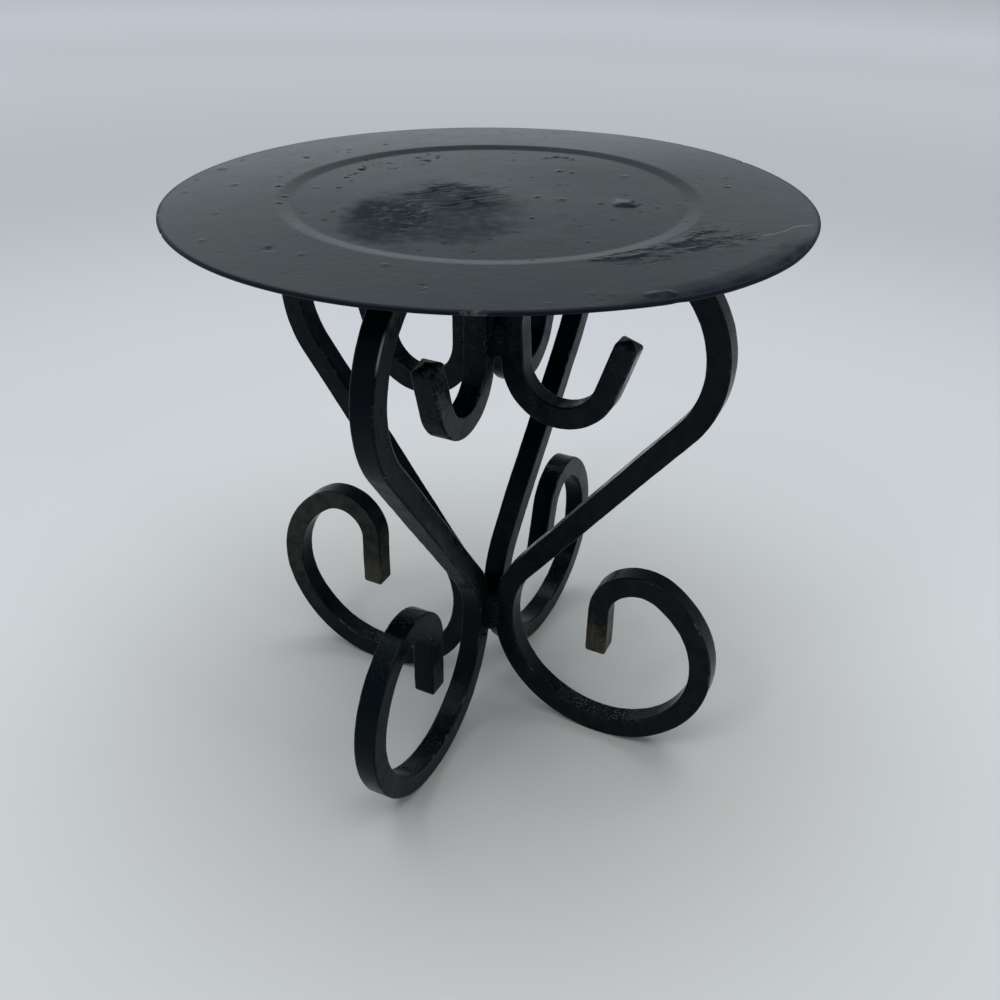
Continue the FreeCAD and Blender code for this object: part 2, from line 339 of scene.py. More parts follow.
# Studio, in metres
FLOOR_HALF = 9.0
FLOOR_REACH = 2.0
# Painted light and shade on the floor: darker in a ring, paler far out, warmer near the stand.
FLOOR_PAINTED_SHADE = (                 # distance from the stand, and the floor's colour there: painted light and shade
    (0.09, (0.568, 0.574, 0.560)), (0.14, (0.570, 0.580, 0.587)), (0.27, (0.551, 0.560, 0.582)),
    (0.62, (0.448, 0.454, 0.482)), (1.2, (0.550, 0.558, 0.592)), (1.6, (0.640, 0.648, 0.688)),
)
FLOOR_ROUGH = 0.9
FLOOR_SHINE = 0.1
LAMP_TINT = (0.965, 0.988, 1.0)
LAMPS = (                       # name, bearing from the view's, rise, distance, size and power in watts
    ("soft_top", 0, 88, 2.6, 3.1, 80.0),
    ("small_left", -42, 48, 2.2, 0.35, 3.0),
    ("small_right", 48, 14, 2.2, 0.35, 5.0),
)
ROOM_LOW = (0.69, 0.75, 0.79)   # light of the room near the horizon and overhead
ROOM_HIGH = (0.27, 0.29, 0.31)
ROOM_RISE = (0.21, 0.60)        # heights on the unit sphere between which it changes
ROOM_FRONT = (1.0, 0.52)        # shares of it ahead of the viewer and behind
ROOM_TURN = (-0.1, 0.7)         # where on the unit sphere that starts and stops changing
ROOM_SIDES = (1.24, 0.60)       # shares of it at the viewer's left and right
ROOM_ACROSS = (-0.9, 0.9)       # where on the unit sphere that starts and stops changing


def between(low, high, share):
    """Value at a share of the way from low to high."""
    return low + (high - low) * share


def eased(value, low, high):
    """Smooth rise from 0 at low to 1 at high; low may be the larger one."""
    share = min(1.0, max(0.0, (value - low) / (high - low)))
    return share * share * (3 - 2 * share)


def hump(value, middle, spread):
    """Bell that is 1 at its middle."""
    return math.exp(-((value - middle) / spread) ** 2)


def mound(share):
    """Height of a mound at a share of the way from its middle to its edge."""
    return max(0.0, 1 - share ** 2) ** MOUND_POWER


def polar(distance, bearing):
    """Coordinates of a place given by its distance and bearing."""
    angle = math.radians(bearing)
    return distance * math.cos(angle), distance * math.sin(angle)


def turned(x, y, bearing):
    """A place measured along a bearing and across it."""
    turn = math.radians(bearing)
    return x * math.cos(turn) + y * math.sin(turn), y * math.cos(turn) - x * math.sin(turn)


def grain(x, y, z=0.0):
    """Smooth noise between about -1 and 1."""
    return noise.noise(Vector((x, y, z)))


def uneven(kind, x, y):
    """One kind of unevenness at a place."""
    strength, along, across, layer = UNEVEN[kind]
    return strength * grain(x * along, y * across, layer)


def quarter_turn(quarter):
    """Turn about the axis that takes +X to a leg."""
    return Matrix.Rotation(math.radians(90 * quarter), 3, "Z")


def into_scene(name, data):
    """New object in the scene for a mesh, lamp or camera."""
    made = bpy.data.objects.new(name, data)
    bpy.context.scene.collection.objects.link(made)
    return made


def build(name, points, faces, masks):
    """Mesh object from points in mm, with each mask stored as a value per point."""
    mesh = bpy.data.meshes.new(name)
    mesh.from_pydata([Vector(point) * MM for point in points], [], faces)
    shell = bmesh.new()
    shell.from_mesh(mesh)
    bmesh.ops.recalc_face_normals(shell, faces=shell.faces)
    shell.to_mesh(mesh)
    shell.free()
    mesh.polygons.foreach_set("use_smooth", [True] * len(mesh.polygons))
    for kind, values in masks.items():
        mesh.attributes.new(kind, "FLOAT", "POINT").data.foreach_set("value", values)
    return into_scene(name, mesh)


def fit(piece, node, material):
    """Puts a piece in the place of a CAD node, with its finish."""
    piece.data.materials.append(material)
    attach(piece, "root")
    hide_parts(node)


def join_rings(outer, inner):
    """Faces between two rings of point numbers, where the inner one may have half as many."""
    count = len(inner)
    faces = []
    for step in range(count):
        here, after = inner[step], inner[(step + 1) % count]
        if len(outer) == count:
            faces.append((outer[step], outer[(step + 1) % count], after, here))
            continue
        first, second, third = (outer[(2 * step + more) % len(outer)] for more in range(3))
        faces += [(first, second, here), (second, after, here), (second, third, after)]
    return faces


def join_along(first, rings, across):
    """Faces between equal rings of points that follow each other, starting at point number first."""
    faces = []
    for start in range(first, first + (rings - 1) * across, across):
        faces += join_rings(range(start, start + across), range(start + across, start + 2 * across))
    return faces


def fan(ring, middle):
    """Faces from a ring of point numbers to the point in its middle."""
    return [(here, after, middle) for here, after in zip(ring, (*ring[1:], ring[0]))]


def bend(line, radius, turn):
    """Adds an arc to a line of (r, z, heading) stations; a positive turn is to the left."""
    r, z, start = line[-1]
    angle = math.radians(turn)
    radius = math.copysign(radius, turn)
    centre_r = r - radius * math.sin(start)
    centre_z = z + radius * math.cos(start)
    steps = round(abs(angle * radius) / STATION)
    for step in range(1, steps + 1):
        heading = start + angle * step / steps
        along_r = centre_r + radius * math.sin(heading)
        along_z = centre_z - radius * math.cos(heading)
        line.append((along_r, along_z, heading))


def run(line, length):
    """Adds a straight stretch to a line of stations."""
    r, z, heading = line[-1]
    steps = max(1, round(length / STATION))
    for step in range(1, steps + 1):
        gone = length * step / steps
        line.append((r + gone * math.cos(heading), z + gone * math.sin(heading), heading))


def sawn_run(line, length):
    """Adds the straight end of a bar, with stations for the dulled edge of the cut."""
    run(line, length - SAWN_BEVEL)
    for share in SAWN_STEPS:
        run(line, SAWN_BEVEL * share)


def foot_line(quarter):
    """Stations of a leg from the floor outwards to the foot's end."""
    floor, first, second, curl, curl_turn, tip = FEET[quarter]
    line = [(floor, HALF_BAR, 0.0)]
    for radius, turn in zip((first, second, curl), FOOT_TURNS + (curl_turn,)):
        bend(line, radius, turn)
    sawn_run(line, tip)
    return line


def body_line(quarter):
    """Stations of a leg from the floor inwards and up to the hook's end."""
    floor = FEET[quarter][0]
    shoulder = SHOULDERS[quarter]
    inner_turn, inner_run, hook_radius, hook_turn, hook_tip = HOOKS[quarter]
    line = [(floor, HALF_BAR, math.pi)]
    bend(line, floor - BAR_RING, -SOLE_TURN)
    r, z, heading = line[-1]
    # The diagonal crosses between the waist circle, on its right, and the shoulder circle.
    across_r = TOP_RADIUS - (r + WAIST_RADIUS * math.sin(heading))
    across_z = TOP_HEIGHT - shoulder - (z - WAIST_RADIUS * math.cos(heading))
    apart = math.hypot(across_r, across_z)
    radii = WAIST_RADIUS + shoulder
    lean = math.atan2(across_z, across_r) - math.asin(radii / apart)
    bend(line, WAIST_RADIUS, math.degrees(lean - heading))
    run(line, math.sqrt(apart ** 2 - radii ** 2))
    bend(line, shoulder, 180 - math.degrees(lean))
    bend(line, INNER_RADIUS, inner_turn)
    run(line, inner_run)
    bend(line, hook_radius, hook_turn)
    sawn_run(line, hook_tip)
    return line


def leg_line(quarter):
    """Stations (r, z, heading) along a leg's middle line, from the foot's end to the hook's end."""
    foot = [(r, z, heading + math.pi) for r, z, heading in reversed(foot_line(quarter))]
    return foot + body_line(quarter)[1:]


def walked(line):
    """Distance of each station from the start of a line."""
    gone = [0.0]
    for (r, z, _), (next_r, next_z, _) in zip(line, line[1:]):
        gone.append(gone[-1] + math.hypot(next_r - r, next_z - z))
    return gone


def bar_section():
    """Points (aside, out, corner) round the bar, where corner is the wear of its rounded corners."""
    flat = HALF_BAR - CORNER
    begins, on_corner = CORNER_WEAR
    side = [(HALF_BAR, flat * share, 0.0) for share in FLAT_STEPS]
    for step in range(CORNER_STEPS + 1):
        angle = math.radians(90 * step / CORNER_STEPS)
        wear = begins if step in (0, CORNER_STEPS) else on_corner
        side.append((flat + CORNER * math.cos(angle), flat + CORNER * math.sin(angle), wear))
    section = []
    for _ in range(4):
        section += side
        side = [(-out, aside, corner) for aside, out, corner in side]
    return section


def sawn_inset(from_end):
    """How far the section draws in at the dulled edge of a cut."""
    if from_end >= SAWN_BEVEL:
        return 0.0
    return SAWN_BEVEL - math.sqrt(SAWN_BEVEL ** 2 - (SAWN_BEVEL - from_end) ** 2)


def forge_mark(quarter, along, aside, out):
    """Unevenness of the bar's skin at a point of it."""
    swell, swells = FORGE_SWELL
    dent, dents = FORGE_DENTS
    across = swells * SWELL_ACROSS
    layer = LEG_LAYERS * quarter
    return (swell * grain(along * swells, aside * across + layer, out * across)
            + dent * grain(along * dents, aside * dents + layer, out * dents + DENT_LAYER))


def grime_at(quarter, along, out):
    """Share of dirt at a place along the bar, on its inner or outer face."""
    share = 0.0
    for where, spread, side, shares in GRIME:
        on_face = eased(out * side, HALF_BAR * GRIME_FACE, HALF_BAR)
        share += shares[quarter] * hump(along, where, spread) * on_face
    return share


def film_at(quarter, along, aside):
    """Share of brown film at a place along the bar, on its two flat sides."""
    share = FILM[quarter]
    leg, more, start, stop = FOOT_FILM
    if quarter == leg:
        share += more * eased(along, stop, start)
    return share * eased(abs(aside), HALF_BAR * FILM_FACE, HALF_BAR)


def highlight_at(quarter, along, aside, out, corner):
    """Share of painted highlight at a point of the bar, on one of its corners."""
    leg, start, end = HIGHLIGHT_CORNER
    if quarter != leg or corner < 1 or aside < 0 or out > 0:
        return 0.0
    return eased(along, start, start + HIGHLIGHT_FADE) * eased(along, end, end - HIGHLIGHT_FADE)


def leg_marks_at(quarter, along, dulled, aside, out, corner):
    """Value of each of LEG_MASKS at a point of the bar."""
    return (max(corner, SAWN_WEAR if dulled else 0.0),
            TIP_RUST[quarter] * math.exp(-along / TIP_FADE),
            grime_at(quarter, along, out),
            film_at(quarter, along, aside),
            SPECKS[quarter] * eased(along, *SPECKED),
            highlight_at(quarter, along, aside, out, corner))


def sway_at(quarter, along):
    """How far a leg lies aside of its own plane, at a distance from its foot's end."""
    foot, top = LEG_ASIDE[quarter]
    return foot * eased(along, *FOOT_BACK) + top * eased(along, *TOP_LEAVES) * eased(along, *TOP_BACK)


def leg_piece(place, quarter):
    """One leg: the bar's section carried along its middle line, with sawn ends."""
    line = leg_line(quarter)
    gone = walked(line)
    last = len(line) - 1
    top = gone[max(range(len(line)), key=lambda station: line[station][1])]
    bow = under_rise(*polar(TOP_RADIUS, 90 * quarter))
    turn = quarter_turn(quarter)
    points = []
    masks = {kind: [] for kind in LEG_MASKS}

    def place_point(station, shrink, aside, out, corner):
        r, z, heading = line[station]
        along = gone[station]
        from_end = min(along, gone[last] - along)
        size = shrink * (1 - sawn_inset(from_end) / HALF_BAR)
        size *= 1 + forge_mark(quarter, along, aside, out) / HALF_BAR
        dome = END_DOME * (1 - shrink ** 2) * (1 if station else -1)
        r += dome * math.cos(heading) - out * size * math.sin(heading)
        z += dome * math.sin(heading) + out * size * math.cos(heading)
        z += bow * hump(along, top, BOW_RUN)
        points.append(turn @ Vector((r, aside * size + sway_at(quarter, along), z)))
        dulled = from_end < SAWN_BEVEL and shrink == 1
        for kind, value in zip(LEG_MASKS, leg_marks_at(quarter, along, dulled, aside, out, corner)):
            masks[kind].append(value)

    section = bar_section()
    across = len(section)
    rings = [(0, share) for share in reversed(CAP_RINGS)]
    rings += [(station, 1.0) for station in range(len(line))]
    rings += [(last, share) for share in CAP_RINGS]
    for station, shrink in rings:
        for aside, out, corner in section:
            place_point(station, shrink, aside, out, corner)
    faces = join_along(0, len(rings), across)
    for station, first in ((0, 0), (last, (len(rings) - 1) * across)):
        faces += fan(range(first, first + across), len(points))
        place_point(station, 0.0, 0.0, 0.0, 0.0)
    return build("leg_bar_" + place, points, faces, masks)


def ring_steps(radius):
    """How many points a ring of the dish has: half as many each time its radius halves."""
    steps = ROUND_STEPS
    reach = DISH_RADIUS / 2
    while radius < reach and steps > FEWEST_STEPS:
        steps //= 2
        reach /= 2
    return steps


def pressed(share):
    """Rise of the step from 0 to 1: a straight slope between two bends."""
    slope = 1 / (1 - STEP_BEND)
    if share < STEP_BEND:
        return slope * share ** 2 / (2 * STEP_BEND)
    if share > 1 - STEP_BEND:
        return 1 - slope * (1 - share) ** 2 / (2 * STEP_BEND)
    return slope * (share - STEP_BEND / 2)


def drooping(bearing):
    """Share of the knock that the edge has at a bearing: 1 on the full stretch, 0 away from it."""
    start, full, still_full, end = DROOP_BEARINGS
    return eased(bearing, start, full) * eased(bearing, end, still_full)


def droop_at(radius, bearing):
    """How far the edge is knocked down at a place on the rim."""
    inside = max(0.0, radius - DISH_RADIUS + DROOP_RUN)
    return DROOP * drooping(bearing) * (inside / DROOP_RUN) ** 2


def scuff_at(radius, bearing):
    """Share of dirt on the knocked-down stretch of the edge, which has a ragged inner side."""
    around = math.radians(bearing) * radius
    ragged = radius + uneven("scuff_edge", around, SCUFF_ROW)
    faint, strong = (eased(ragged, low, high) for low, high in SCUFF_STEPS)
    return min(1.0, SCUFF_SPREAD * drooping(bearing)) * between(SCUFF_FAINT * faint, 1.0, strong)


def on_dish(x, y):
    """Distance and bearing of a place from the dish's own middle."""
    aside_x, aside_y = polar(*DISH_ASIDE)
    return math.hypot(x - aside_x, y - aside_y), math.degrees(math.atan2(y - aside_y, x - aside_x))


def towards_back(x, y):
    """How far back in the well a place lies, from -1 at its front to 1."""
    return turned(x, y, SCORCH_LIE)[1] / WELL_RADIUS


def dish_rise(x, y):
    """How far the dish stands above the CAD model's level at a place."""
    radius, bearing = on_dish(x, y)
    lean = DISH_LEAN * turned(x, y, LEAN_BEARING)[0] / DISH_RADIUS
    rise, more = WELL_RISE
    fade = min(1.0, (DISH_RADIUS - radius) / (DISH_RADIUS - WELL_RADIUS))
    well = (rise + more * towards_back(x, y)) * fade
    height, middle, spread = BACK_RISE
    back = height * hump(bearing, middle, spread) * eased(radius, *BACK_RISE_FADE)
    return DISH_LIFT + lean + well + back


def sheet_height(x, y):
    """Upper face of the pressed sheet, without what has happened to its paint."""
    radius, bearing = on_dish(x, y)
    step = pressed(min(1.0, max(0.0, (radius - WELL_RADIUS) / STEP_WIDTH)))
    spoil = uneven("sheet_wave", x, y) * eased(radius, *WAVE_FADE) + uneven("sheet_dint", x, y)
    spoil -= droop_at(radius, bearing)
    depth = WELL_DEPTH + WELL_UNEVEN * towards_back(x, y)
    return STAND_HEIGHT + SHEET + RIM_LEVEL - depth * (1 - step) + dish_rise(x, y) + spoil


def under_rise(x, y):
    """How far the dish's underside stands above the CAD height of the legs' tops at a place."""
    return sheet_height(x, y) - SHEET - STAND_HEIGHT


def edge_radius(bearing):
    """Radius of the dish's edge, with its nicks."""
    radius = DISH_RADIUS
    for middle, width, depth in EDGE_NICKS:
        away = (bearing - middle + 180) % 360 - 180
        along = abs(math.radians(away)) * DISH_RADIUS / (width / 2)
        radius -= depth * eased(along, 1, 0)
    return radius


def paint_spots():
    """Every blister and pit of the dish as (x, y, half width, height)."""
    spots = [(*polar(distance, bearing), width / 2, height)
             for distance, bearing, width, height in RIM_SPOTS + WELL_SPOTS]
    dice = random.Random(SCATTER_SEED)
    for _ in range(SCATTER_COUNT):
        distance = DISH_RADIUS * SCATTER_REACH * math.sqrt(dice.random())
        x, y = polar(distance, dice.uniform(-180, 180))
        spots.append((x, y, dice.uniform(*SCATTER_WIDTH) / 2, dice.uniform(*SCATTER_HEIGHT)))
    distances, bearings = CLUSTER_REACH
    for _ in range(CLUSTER_COUNT):
        x, y = polar(dice.uniform(*distances), dice.uniform(*bearings))
        spots.append((x, y, dice.uniform(*SCATTER_WIDTH) / 2, dice.uniform(*CLUSTER_HEIGHT)))
    return spots


def scorch_share(u, v, spot):
    """Share of scorching at a place, full in the middle of a spot and ragged at its edge."""
    middle_u, middle_v, half_u, half_v = spot
    away = math.hypot((u - middle_u) / half_u, (v - middle_v) / half_v)
    if away > SCORCH_FAR:
        return 0.0
    return eased(away + uneven("scorch_edge", u, v) + uneven("scorch_nibble", u, v), *SCORCH_FADE)


def wrinkle_at(u, v):
    """Rise and fall of a wrinkle at a place, at most 1."""
    along, across = turned(u, v, WRINKLE_LIE)
    across += uneven("wrinkle_sway", along, across)
    return max(WRINKLE_DEEPEST, 1 - abs(uneven("wrinkle", along, across)))


def scorch(u, v):
    """Shares of scorching and of wrinkles at a place, and how far its lumps and wrinkles stand up."""
    smooth, wrinkled, halo = (scorch_share(u, v, spot)
                              for spot in (SMOOTH_SCORCH, WRINKLED_SCORCH, SCORCH_HALO))
    soot, soot_start, soot_full = WELL_SOOT
    share = max(soot * eased(v, soot_start, soot_full),
                *(dark * part for dark, part in zip(SCORCH_SHARES, (smooth, wrinkled, halo))))
    lump = uneven("lump", u, v) + uneven("small_lump", u, v)
    lump = scorch_share(u, v, LUMPY_SCORCH) * max(0.0, lump - LUMP_FLAT)
    bare, bare_start, bare_full = LUMP_BARE
    share *= 1 - bare * eased(lump, bare_start, bare_full)
    return share, wrinkled, LUMP_HEIGHT * lump + WRINKLE_HEIGHT * wrinkled * wrinkle_at(u, v)


def burst(u, v):
    """Height of the burst blister at a place, and the share of painted shade in the gap under its torn
    front.
    """
    middle_u, middle_v, half_u, front, back = BURST
    aside = (u - middle_u) / half_u
    away = (v - middle_v) / (back if v > middle_v else front)
    reach = math.hypot(aside, away) * (1 + uneven("burst_edge", u, v))
    if reach > BURST_FAR:
        return 0.0, 0.0
    gap = eased(reach, *GAP_INNER) * eased(reach, *GAP_OUTER)
    gap *= eased(away - GAP_SLANT * aside, *GAP_SIDE)
    flake = max(0.0, uneven("burst_flake", u, v)) * gap
    gap *= eased(flake, *FLAKE_FADE)
    return BURST_HEIGHT * max(0.0, 1 - reach) + FLAKE_HEIGHT * flake, gap


def scales(radius, bearing):
    """Share of scaly paint at a place on the rim, and how far its scales stand up."""
    low, high = SCALES_BEARINGS
    if not low < bearing < high:
        return 0.0, 0.0
    place = (bearing - low) / (high - low)
    past = radius - between(*SCALES_INNER, place)
    full, goes = SCALES_ENDS
    full_in, goes_out = SCALES_SIDES
    share = eased(place, 0, full) * eased(place, 1, goes)
    share *= eased(past, 0, full_in) * eased(past, between(*SCALES_WIDTH, place), goes_out)
    around = math.radians(bearing) * WELL_RADIUS
    layers = past / SCALES_PITCH + uneven("scale_sway", around, past - around * SCALES_SLANT)
    layers += uneven("scale_nibble", around, past)
    on_layer = layers % 1.0
    return share, SCALES_HEIGHT * share * (on_layer - eased(on_layer, SCALES_BACK, 1.0))


def scratch_at(radius, bearing):
    """Distance round the dish from the light scratch that runs out to the edge, and 1 close to it."""
    for (near, near_bearing), (far, far_bearing) in zip(SCRATCH, SCRATCH[1:]):
        if near <= radius <= far:
            line = between(near_bearing, far_bearing, (radius - near) / (far - near))
            away = math.radians(bearing - line) * radius + uneven("scratch_sway", radius, SCRATCH_ROW)
            close = eased(abs(away), SCRATCH_FAR, SCRATCH_FAR / 2)
            return max(-SCRATCH_FAR, min(SCRATCH_FAR, away)), close
    return SCRATCH_FAR, 0.0


def tear_stops(line):
    """Points along a tear, TEAR_STEP apart, with a shaky hand."""
    stops = [Vector((*polar(*stop), 0)) for stop in line]
    shaky = []
    for start, finish in zip(stops, stops[1:]):
        along = finish - start
        aside = Vector((-along.y, along.x, 0)).normalized()
        for step in range(round(along.length / TEAR_STEP)):
            place = start + along * (step * TEAR_STEP / along.length)
            shake = uneven("tear_sway", place.x, place.y) + uneven("tear_shake", place.x, place.y)
            shaky.append(place + aside * shake)
    return shaky


def dish_piece():
    """The dish: rings of points over its upper face, round its edge and back under it."""
    points, rings = [], []
    aside_x, aside_y = polar(*DISH_ASIDE)

    def add_point(x, y, lift, under):
        x, y = x + aside_x, y + aside_y
        points.append([x, y, sheet_height(x, y) + lift - (SHEET if under else 0.0)])

    def add_ring(radius, lift, under):
        steps = ring_steps(radius)
        rings.append(range(len(points), len(points) + steps))
        for step in range(steps):
            bearing = 360 * step / steps
            nick = edge_radius(bearing) - DISH_RADIUS if radius > DISH_RADIUS - NICK_REACH else 0.0
            add_point(*polar(radius + nick, bearing), lift, under)

    flat = DISH_RADIUS - EDGE_ROUND
    count = round(flat / TOP_SPACING)
    for ring in range(1, count):
        add_ring(ring * flat / count, 0.0, False)
    top_points = len(points)
    for under, angles in ((False, EDGE_ANGLES), (True, reversed(EDGE_ANGLES))):
        for angle in angles:
            out, up = polar(EDGE_ROUND, 90 - angle)
            drop = EDGE_ROUND - up
            add_ring(flat + out, drop if under else -drop, under)
    under_count = round(DISH_RADIUS / UNDER_SPACING)
    for ring in range(under_count - 1, 0, -1):
        add_ring(ring * DISH_RADIUS / under_count, 0.0, True)
    faces = []
    for first, second in zip(rings, rings[1:]):
        outer, inner = (first, second) if len(first) >= len(second) else (second, first)
        faces += join_rings(outer, inner)
    for ring, under in ((rings[0], False), (rings[-1], True)):
        faces += fan(ring, len(points))
        add_point(0.0, 0.0, 0.0, under)
    masks = age_paint(points, top_points)
    return build("dish_sheet", points, faces, masks)


def point_tree(points, count):
    """Search tree over the first points, seen from above."""
    tree = kdtree.KDTree(count)
    for number in range(count):
        x, y, _ = points[number]
        tree.insert((x, y, 0), number)
    tree.balance()
    return tree


def raise_spots(points, tree, pits):
    """Raises the blisters and sinks the pits of the dish's paint."""
    lowest, usual = SPOT_WEAR
    pit_shade, blister_shade = SPOT_SHADE
    for x, y, half, height in paint_spots():
        dark = pit_shade if height < 0 else blister_shade
        for place, number, apart in tree.find_range((x, y, 0), half * (1 + SPOT_RAGGED)):
            share = mound(apart / (half * (1 + uneven("spot_edge", place.x, place.y))))
            share *= min(1.0, max(lowest, usual + uneven("spot_wear", place.x, place.y)))
            points[number][2] += height * share
            # Pits and blisters also get painted shade.
            pits[number] = max(pits[number], share * dark)


def raise_tears(points, tree, pits):
    """Sinks the cracks of the dish's paint, and lifts it on the inner side of its torn edges."""
    crack_whole, torn_whole = TEAR_WHOLE
    for height, half, line in PAINT_TEARS:
        nearest = {}
        for stop in tear_stops(line):
            for place, number, apart in tree.find_range(stop, TEAR_LIFT if height > 0 else half):
                if apart < nearest.get(number, (math.inf, 0))[0]:
                    nearest[number] = apart, place.length - stop.length
        whole = crack_whole if height < 0 else torn_whole
        for number, (apart, outward) in nearest.items():
            x, y, _ = points[number]
            share = mound(apart / (TEAR_LIFT if height > 0 and outward < 0 else half))
            share *= min(TEAR_MOST, max(0.0, whole + uneven("tear_break", x, y)))
            points[number][2] += height * share
            # Cracks, and the outer side of a torn edge, get painted shade.
            if height < 0 or outward > 0:
                pits[number] = max(pits[number], share)


def age_paint(points, top_points):
    """Raises the dish's paint where it blistered, tore, scorched or scaled, and returns the masks."""
    masks = {kind: [0.0] * len(points) for kind in DISH_MASKS}
    masks["scratch"] = [SCRATCH_FAR] * len(points)
    tree = point_tree(points, top_points)
    raise_spots(points, tree, masks["painted_shade"])
    raise_tears(points, tree, masks["painted_shade"])
    for number in range(top_points):
        x, y, _ = points[number]
        radius, bearing = on_dish(x, y)
        if radius < WELL_RADIUS:
            u, v = turned(x, y, SCORCH_LIE)
            masks["patch"][number], masks["wrinkled"][number], lift = scorch(u, v)
            burst_lift, gap = burst(u, v)
            # The gap under the burst's torn front gets painted shade.
            masks["painted_shade"][number] = max(masks["painted_shade"][number], gap)
            points[number][2] += lift + burst_lift
        else:
            masks["scales"][number], lift = scales(radius, bearing)
            masks["scratch"][number], masks["by_scratch"][number] = scratch_at(radius, bearing)
            masks["scuff"][number] = scuff_at(radius, bearing)
            points[number][2] += lift
    for number, (x, y, _) in enumerate(points):
        radius, bearing = on_dish(x, y)
        # The edge mask carries wear and the painted shade of the edge band.
        masks["edge"][number] = eased(radius, DISH_RADIUS - EDGE_FADE, DISH_RADIUS)
        masks["rub"][number] = sum(hump(bearing, middle, spread) for middle, spread in RUBBED_EDGE)
    return masks


def ripple_at(gone, crown, seed):
    """Height of a bead's ripples at a point of it, from 0 to 1."""
    stray, strays = RIPPLE_STRAY
    along = gone + RIPPLE_BOW * crown + stray * grain(gone * strays, seed)
    return abs(math.sin(math.pi * along / WELD_RIPPLE))


def lump_at(gone, share, seed):
    """How much wider a bead is at a point of it, as a share."""
    lump, lumps, lumps_across = WELD_LUMPS
    nub, nubs, nubs_across = WELD_NUBS
    return (lump * grain(gone * lumps, share * lumps_across + seed, LUMP_LAYER)
            + nub * grain(gone * nubs, share * nubs_across, seed))


def bead(points, faces, grooves, corner, face_a, face_b, size, seed):
    """Adds a rippled weld bead in the corner of two faces, and spatter beside it."""
    reach, full = size
    along = face_a.cross(face_b)
    half = full / 2 + WELD_TAPER
    first = len(points)
    for station in range(WELD_STATIONS + 1):
        gone = between(-half, half, station / WELD_STATIONS)
        past = max(0.0, abs(gone) - full / 2) / WELD_TAPER
        girth = max(WELD_TIP, math.sqrt(max(0.0, 1 - past * past)))
        root = corner + along * gone - (face_a + face_b) * WELD_SINK
        for step in range(WELD_STEPS + 1):
            share = step / WELD_STEPS
            crown = math.sin(math.pi * share)
            ripple = ripple_at(gone, crown, seed)
            spread = reach * girth * (1 + lump_at(gone, share, seed))
            out = spread * crown * (WELD_BULGE + WELD_RELIEF * ripple)
            place = root + face_a * (spread * (1 - share)) + face_b * (spread * share)
            points.append(place + (face_a + face_b).normalized() * out)
            grooves.append((1 - ripple) * crown * girth)
        points.append(root)
        grooves.append(0.0)
    across = WELD_STEPS + 2
    faces += join_along(first, WELD_STATIONS + 1, across)
    faces.append(tuple(range(first, first + across)))
    faces.append(tuple(range(len(points) - across, len(points))))
    dice = random.Random(seed)
    for _ in range(SPATTER_COUNT):
        face = dice.choice((face_a, face_b))
        other = face_b if face is face_a else face_a
        radius = dice.uniform(*SPATTER_RADIUS)
        place = corner + along * dice.uniform(-half, half)
        place += face * (reach * dice.uniform(*SPATTER_REACH)) + other * (radius * SPATTER_LIFT)
        spatter(points, faces, grooves, place, radius)


def spatter(points, faces, grooves, place, radius):
    """Adds a drop of weld metal that sits half sunk in a bar."""
    ball = bmesh.new()
    bmesh.ops.create_icosphere(ball, subdivisions=SPATTER_DIVISIONS, radius=radius)
    first = len(points)
    points += [place + vertex.co for vertex in ball.verts]
    grooves += [0.0] * len(ball.verts)
    faces += [tuple(first + vertex.index for vertex in face.verts) for face in ball.faces]
    ball.free()


def weld_piece(kind, place, quarter, corners, size):
    """All the beads of one weld, turned to the leg or valley it belongs to."""
    turn = quarter_turn(quarter)
    per_leg, per_bead, per_mm = SEED_STEPS
    points, faces, grooves = [], [], []
    for number, (corner, face_a, face_b) in enumerate(corners):
        seed = per_leg * quarter + per_bead * number + corner.z * per_mm
        corner = turn @ corner
        if kind == "dish_weld":
            corner.z += under_rise(corner.x, corner.y)
        bead(points, faces, grooves, corner, turn @ face_a, turn @ face_b, size, seed)
    return build(kind + "_bead_" + place, points, faces, {"groove": grooves})


def valley(height):
    """Corner between the legs along +X and +Y, with the directions of the two faces."""
    return [(Vector((HALF_BAR, HALF_BAR, height)), Vector((1, 0, 0)), Vector((0, 1, 0)))]


def under_dish(quarter):
    """Corners on both sides of a leg, where it meets the dish, as if it stood along +X."""
    _, sway = LEG_ASIDE[quarter]
    down = Vector((0, 0, -1))
    return [(Vector((TOP_RADIUS, sway + side * HALF_BAR, STAND_HEIGHT)), Vector((0, side, 0)), down)
            for side in (1, -1)]


def put(tree, kind, **inputs):
    """Adds a node. Each named input takes a value, or another node's output to link."""
    node = tree.nodes.new("ShaderNode" + kind)
    for name, value in inputs.items():
        feed(tree, node.inputs[name.replace("_", " ")], value)
    return node


def feed(tree, socket, value):
    """Links another node's output to a socket, or sets the socket to a number, vector or colour."""
    if isinstance(value, bpy.types.NodeSocket):
        tree.links.new(value, socket)
    else:
        socket.default_value = (*value, 1) if socket.type == "RGBA" else value


def sums(tree, operation, *values, kind="Math"):
    """Number that a Math or Vector Math node puts out."""
    node = tree.nodes.new("ShaderNode" + kind)
    node.operation = operation
    for socket, value in zip(node.inputs, values):
        feed(tree, socket, value)
    return node.outputs["Value"]


def times(tree, first, second):
    """Product of two values."""
    return sums(tree, "MULTIPLY", first, second)


def largest(tree, first, *others):
    """Largest of several values."""
    for other in others:
        first = sums(tree, "MAXIMUM", first, other)
    return first


def stacked(tree, base, *layers):
    """Adds layers to a base value, each a value and how much of it."""
    for value, amount in layers:
        base = sums(tree, "MULTIPLY_ADD", value, amount, base)
    return base


def ranged(tree, value, low, high, to_low=0.0, to_high=1.0):
    """Output of a Map Range node, clamped at both ends."""
    node = put(tree, "MapRange", Value=value, From_Min=low, From_Max=high, To_Min=to_low, To_Max=to_high)
    return node.outputs["Result"]


